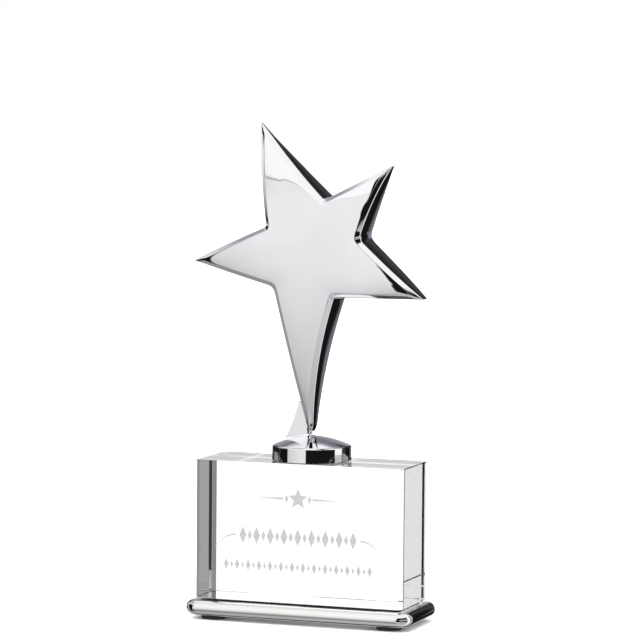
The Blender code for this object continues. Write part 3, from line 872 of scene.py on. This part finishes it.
class Sky:
    """The world's nodes, which give each direction its colour from its azimuth and elevation."""

    def __init__(self, tree):
        self.nodes, self.links = tree.nodes, tree.links
        place = self.nodes.new("ShaderNodeTexCoord")
        parts = self.nodes.new("ShaderNodeSeparateXYZ")
        self.links.new(place.outputs["Generated"], parts.inputs[0])
        to_front = self.maths("MULTIPLY", parts.outputs["Y"], -1.0)
        turn = self.maths("ARCTAN2", parts.outputs["X"], to_front)
        self.elevation = self.maths("MULTIPLY", self.maths("ARCSINE", parts.outputs["Z"]), DEGREES)
        self.azimuth = self.maths("MULTIPLY", turn, DEGREES)
        self.round_back = self.maths("MODULO", self.maths("ADD", self.azimuth, 360.0), 360.0)

    def put(self, value, socket):
        """Links a node's output to the socket, or sets the socket to a number or a tone."""
        if isinstance(value, bpy.types.NodeSocket):
            self.links.new(value, socket)
        elif socket.type == "RGBA":
            socket.default_value = (*rgb(value), 1)
        else:
            socket.default_value = value

    def maths(self, operation, *values):
        node = self.nodes.new("ShaderNodeMath")
        node.operation = operation
        for value, socket in zip(values, node.inputs):
            self.put(value, socket)
        return node.outputs[0]

    def step(self, value, start, end):
        """0 at the start, 1 at the end, and smooth in between."""
        node = self.nodes.new("ShaderNodeMapRange")
        node.interpolation_type = "SMOOTHSTEP"
        node.inputs["From Min"].default_value = start
        node.inputs["From Max"].default_value = end
        self.put(value, node.inputs["Value"])
        return node.outputs["Result"]

    def band(self, value, low, high, soft):
        """1 between low and high, 0 outside, with soft ends."""
        rise = self.step(value, low - soft, low + soft)
        return self.maths("MULTIPLY", rise, self.step(value, high + soft, high - soft))

    def mixed(self, factor, first, second, how="MIX"):
        node = self.nodes.new("ShaderNodeMix")
        node.data_type = "RGBA"
        node.blend_type = how
        self.put(factor, node.inputs[0])
        self.put(first, node.inputs[MIX_FIRST])
        self.put(second, node.inputs[MIX_SECOND])
        return node.outputs[MIX_RESULT]

    def ramp(self, angle, stops):
        """The tone at this angle, from (angle, tone) stops."""
        scaled = self.nodes.new("ShaderNodeMapRange")
        scaled.inputs["From Min"].default_value = -90
        scaled.inputs["From Max"].default_value = 90
        self.put(angle, scaled.inputs["Value"])
        node = self.nodes.new("ShaderNodeValToRGB")
        elements = node.color_ramp.elements
        while len(elements) < len(stops):
            elements.new(0.5)
        for element, (at, tone) in zip(elements, stops):
            element.position = (at + 90) / 180
            element.color = (*rgb(tone), 1)
        self.put(scaled.outputs["Result"], node.inputs["Fac"])
        return node.outputs["Color"]

    def curve(self, angle, stops):
        """The number at this angle, from (angle, number) stops whose numbers are within CURVE_REACH of 0."""
        share = self.ramp(angle, [(at, number / (2 * CURVE_REACH) + 0.5) for at, number in stops])
        return self.maths("MULTIPLY", self.maths("SUBTRACT", share, 0.5), 2 * CURVE_REACH)

    def area(self, azimuths, elevations):
        """1 within these limits, 0 outside. None stands for all round, or for every height."""
        found = 1.0
        if azimuths:
            angle = self.round_back if azimuths[1] > 180 else self.azimuth
            found = self.band(angle, *azimuths)
        if elevations:
            found = self.maths("MULTIPLY", found, self.band(self.elevation, *elevations))
        return found

    def lay(self, colour, cards):
        """The colour with these cards in front of it, the last one nearest."""
        for azimuths, elevations, tones in cards:
            tone = self.ramp(self.elevation, tones) if isinstance(tones, list) else tones
            colour = self.mixed(self.area(azimuths, elevations), colour, tone)
        return colour


def key_wall(sky):
    """The bright wall in front: darker towards the floor, with a haze and a thin line along its horizon."""
    height = sky.maths("SUBTRACT", sky.elevation, sky.curve(sky.azimuth, HORIZON_LIFTS))
    tones, falloff = sky.ramp(height, KEY_WALL_TONES), sky.ramp(sky.azimuth, KEY_WALL_FALLOFF)
    wall = sky.mixed(1.0, tones, falloff, "MULTIPLY")
    haze = sky.maths("MULTIPLY", sky.band(height, *HAZE_BAND), sky.step(sky.azimuth, *HAZE_FADE))
    wall = sky.mixed(sky.maths("MULTIPLY", haze, HAZE_SHARE), wall, HAZE_TONE)
    line = sky.maths("MULTIPLY", sky.band(height, *LINE_BAND), sky.ramp(sky.azimuth, LINE_STRENGTHS))
    return sky.mixed(line, wall, LINE_TONE)


def past_key_wall(sky):
    """1 to the right of the key wall's slanted end, 0 on the wall."""
    beyond = sky.maths("SUBTRACT", sky.azimuth, sky.curve(sky.elevation, KEY_WALL_END))
    return sky.step(beyond, -KEY_WALL_END_SOFT, KEY_WALL_END_SOFT)


def below_low_card_top(sky):
    """1 under the slanted top of the low card on the right, 0 above it."""
    above = sky.maths("SUBTRACT", sky.elevation, sky.curve(sky.azimuth, LOW_CARD_TOP))
    under = sky.step(above, LOW_CARD_SOFT, -LOW_CARD_SOFT)
    return sky.maths("MULTIPLY", sky.band(sky.azimuth, *LOW_CARD_WIDTH), under)


def back_wall(sky):
    """The dim wall behind, black at its right end and brighter up high at its far left."""
    wall, far_wall = (sky.ramp(sky.elevation, tones) for tones in (BACK_WALL_TONES, FAR_WALL_TONES))
    wall = sky.mixed(sky.step(sky.round_back, *BACK_WALL_DARK_END), wall, BLACK)
    return sky.mixed(sky.step(sky.round_back, *FAR_WALL_FADE), wall, far_wall)


def studio_world():
    """A studio seen by direction: a pale key wall in front, dark flags beside it and a dim wall behind."""
    world = bpy.data.worlds.new("studio")
    bpy.context.scene.world = world
    world.use_nodes = True
    sky = Sky(world.node_tree)
    colour = sky.mixed(past_key_wall(sky), key_wall(sky), BLACK)
    colour = sky.mixed(below_low_card_top(sky), colour, sky.ramp(sky.elevation, LOW_CARD_TONES))
    colour = sky.lay(colour, SIDE_CARDS)
    colour = sky.lay(colour, [(BACK_WALL_WIDTH, None, back_wall(sky))])
    colour = sky.lay(colour, REAR_CARDS)
    path = sky.nodes.new("ShaderNodeLightPath")
    colour = sky.mixed(path.outputs["Is Transmission Ray"], colour, sky.lay(colour, GLASS_CARDS))
    colour = sky.mixed(path.outputs["Is Camera Ray"], colour, WHITE)
    colour = sky.mixed(path.outputs["Is Diffuse Ray"], colour, DIFFUSE_LIGHT)
    background = sky.nodes["Background"]
    sky.links.new(colour, background.inputs["Color"])
    background.inputs["Strength"].default_value = 1.0


def studio_light(name, place, aim, size, power):
    light = bpy.data.lights.new(name, "AREA")
    light.shape = "DISK"
    light.size = size
    light.energy = power
    obj = bpy.data.objects.new(name, light)
    bpy.context.scene.collection.objects.link(obj)
    obj.location = place
    obj.rotation_mode = "QUATERNION"
    obj.rotation_quaternion = (Vector(aim) - Vector(place)).to_track_quat("-Z", "Y")
    obj.visible_glossy = False
    obj.visible_transmission = False


def make_floor():
    bpy.ops.mesh.primitive_plane_add(size=FLOOR_SIZE, location=(0, 0, 0))
    floor = bpy.context.object
    floor.name = "floor"
    floor.data.materials.append(pale_floor())
    floor.visible_glossy = False
    floor.visible_transmission = False


def make_camera():
    data = bpy.data.cameras.new("camera")
    data.lens = CAMERA_LENS
    data.sensor_width = CAMERA_SENSOR
    data.clip_start, data.clip_end = CAMERA_REACH
    camera = bpy.data.objects.new("camera", data)
    bpy.context.scene.collection.objects.link(camera)
    a, e, roll = (math.radians(v) for v in (CAMERA_AZIMUTH, CAMERA_ELEVATION, CAMERA_ROLL))
    back = Vector((math.sin(a) * math.cos(e), -math.cos(a) * math.cos(e), math.sin(e)))
    level = Vector((math.cos(a), math.sin(a), 0))
    upright = back.cross(level)
    right = math.cos(roll) * level + math.sin(roll) * upright
    up = -math.sin(roll) * level + math.cos(roll) * upright
    turn = Matrix((right, up, back)).transposed().to_4x4()
    camera.matrix_world = Matrix.Translation(CAMERA_TARGET + back * CAMERA_DISTANCE) @ turn
    bpy.context.scene.camera = camera


# ---------------------------------------------------------------- assembly

def join_frame(piece, replaced=None):
    """Rides the piece on the body, and hides the CAD node that it stands for."""
    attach(piece, BODY)
    if replaced:
        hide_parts(replaced)


def finish_cad_node(name, finish):
    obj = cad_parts[name]
    obj.data.materials.clear()
    obj.data.materials.append(finish)


def main():
    bright = chrome("polished_chrome", (0.93, 0.935, 0.95), 0.025, 0.02)
    plate_finish = chrome("plate_chrome", (0.92, 0.92, 0.90), 0.04, 0.04)
    glass = crystal_glass()
    rubber = black_rubber()
    zinc = zinc_steel()
    film = adhesive_film()

    join_frame(make_star(bright), "star")
    join_frame(make_stud(bright))
    join_frame(make_cap(bright), "cap")
    join_frame(make_plate(plate_finish), "base_plate")
    join_frame(make_block(glass), "crystal_block")
    join_frame(make_etching(etched_frost()))
    for name in FEET:
        join_frame(make_foot(name, rubber), name)

    finish_cad_node("leg_brace", bright)
    finish_cad_node("washer", zinc)
    finish_cad_node("hex_nut", zinc)
    finish_cad_node("cap_bond_pad", film)
    finish_cad_node("block_bond_sheet", film)

    make_floor()
    studio_world()
    for light in LIGHTS:
        studio_light(*light)
    bpy.context.scene.view_settings.view_transform = "Standard"


make_camera()
main()
